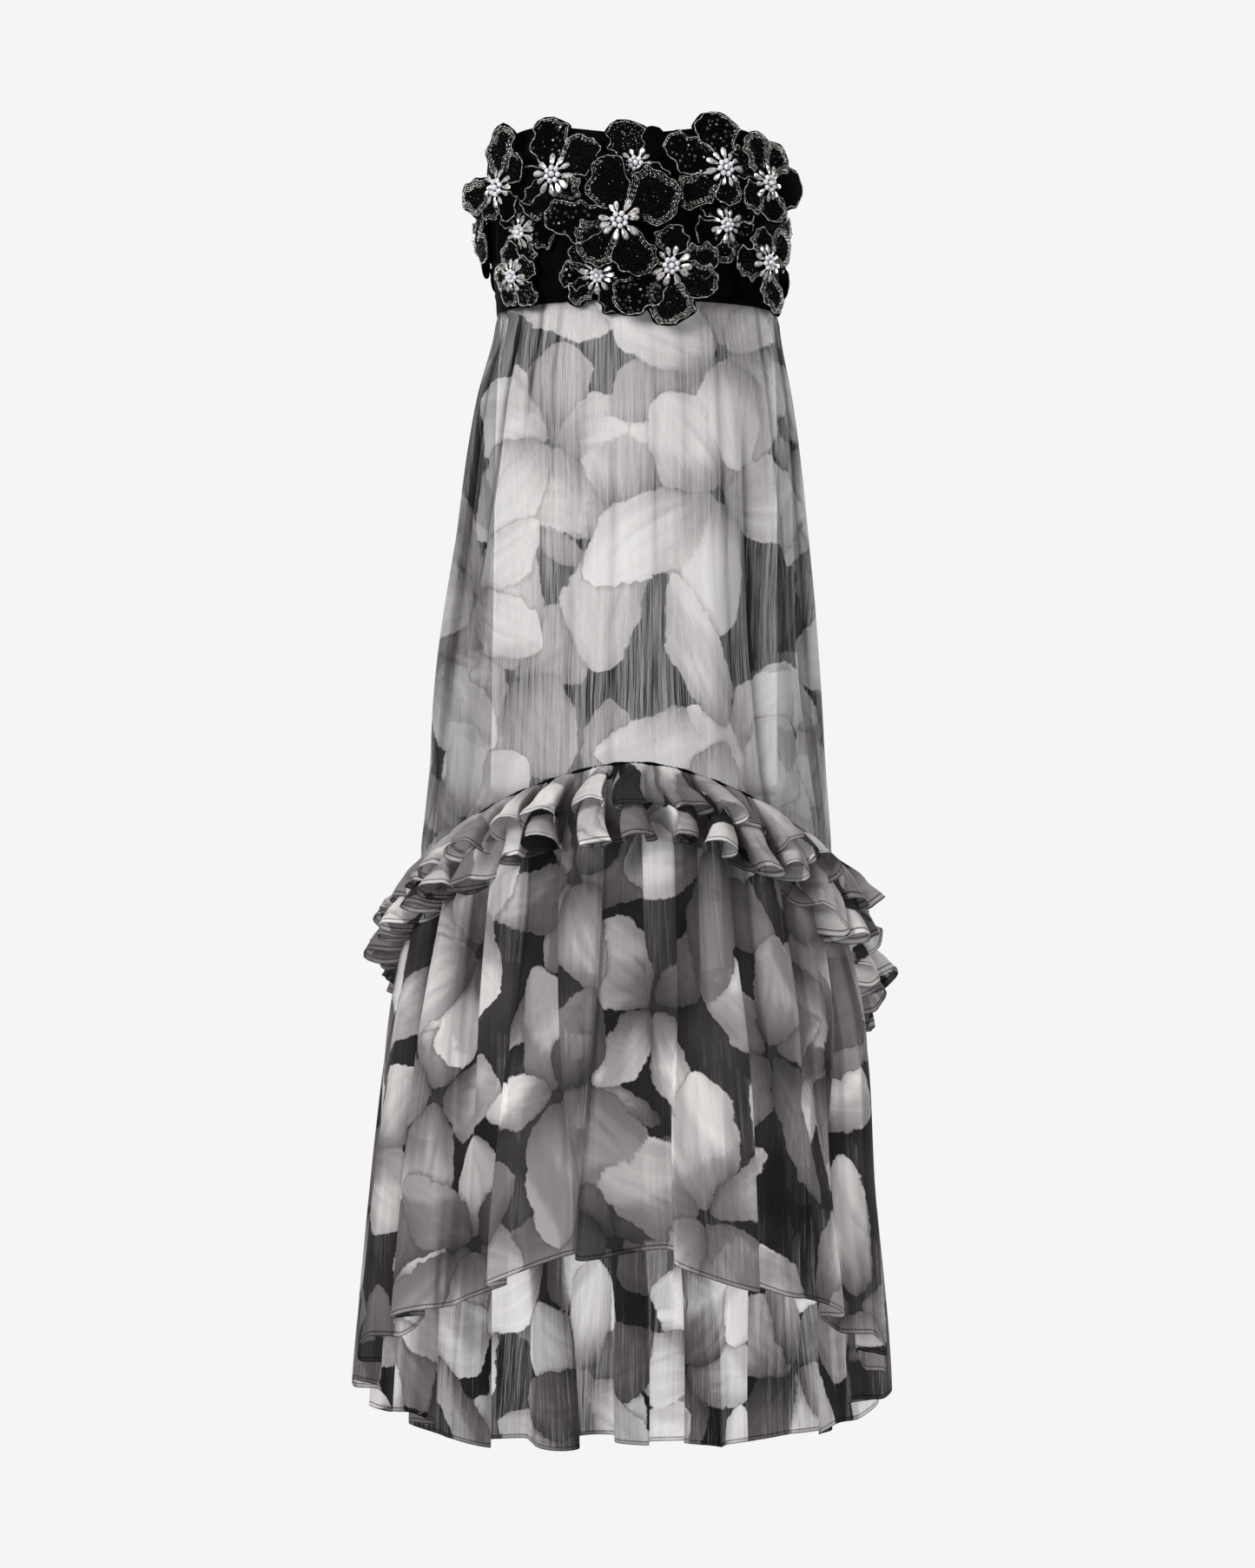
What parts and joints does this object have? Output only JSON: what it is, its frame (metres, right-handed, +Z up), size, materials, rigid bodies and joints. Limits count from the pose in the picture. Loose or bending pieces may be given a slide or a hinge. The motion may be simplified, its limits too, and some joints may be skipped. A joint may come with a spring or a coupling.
{
  "type": "strapless maxi dress",
  "caption": "Strapless maxi dress, worn and hollow: fitted bodice with raised beaded flowers, sheer printed A-line skirt over a short slip, double ruffle and a gathered tier with a dipping hem.",
  "frame": {"origin": "inside the bodice at the middle of the bust, 0.06 m below the front top edge, where the wearer's body holds the dress up", "axes": "+Z up, front of the dress towards -Y, +X to the right in a front view"},
  "size_m": [0.5511, 0.5428, 1.413],
  "materials": {
    "black_cloth": "matte black crepe",
    "beaded_applique": "black velvet petals with silver and black glass beads, pearls and clear crystals",
    "slip_cloth": "pale smooth lining",
    "printed_chiffon": "sheer crinkled chiffon with a grey petal print"
  },
  "bodies": {
    "root": {"bodice_front": "black_cloth", "bodice_back": "black_cloth", "waist_strip_front": "black_cloth", "waist_strip_back": "black_cloth", "skirt_front": "printed_chiffon", "skirt_back": "printed_chiffon", "tier_front": "printed_chiffon", "tier_back": "printed_chiffon", "ruffle_upper_front": "printed_chiffon", "ruffle_upper_back": "printed_chiffon", "ruffle_lower_front": "printed_chiffon", "ruffle_lower_back": "printed_chiffon", "slip": "slip_cloth", "flower_a": "beaded_applique", "flower_b": "beaded_applique", "flower_c": "beaded_applique", "flower_d": "beaded_applique", "flower_e": "beaded_applique", "flower_f": "beaded_applique", "flower_g": "beaded_applique", "flower_h": "beaded_applique", "flower_i": "beaded_applique", "flower_j": "beaded_applique", "flower_k": "beaded_applique", "flower_l": "beaded_applique", "flower_m": "beaded_applique", "flower_n": "beaded_applique", "flower_o": "beaded_applique", "flower_p": "beaded_applique", "flower_q": "beaded_applique", "flower_r": "beaded_applique"}
  },
  "joints": []
}
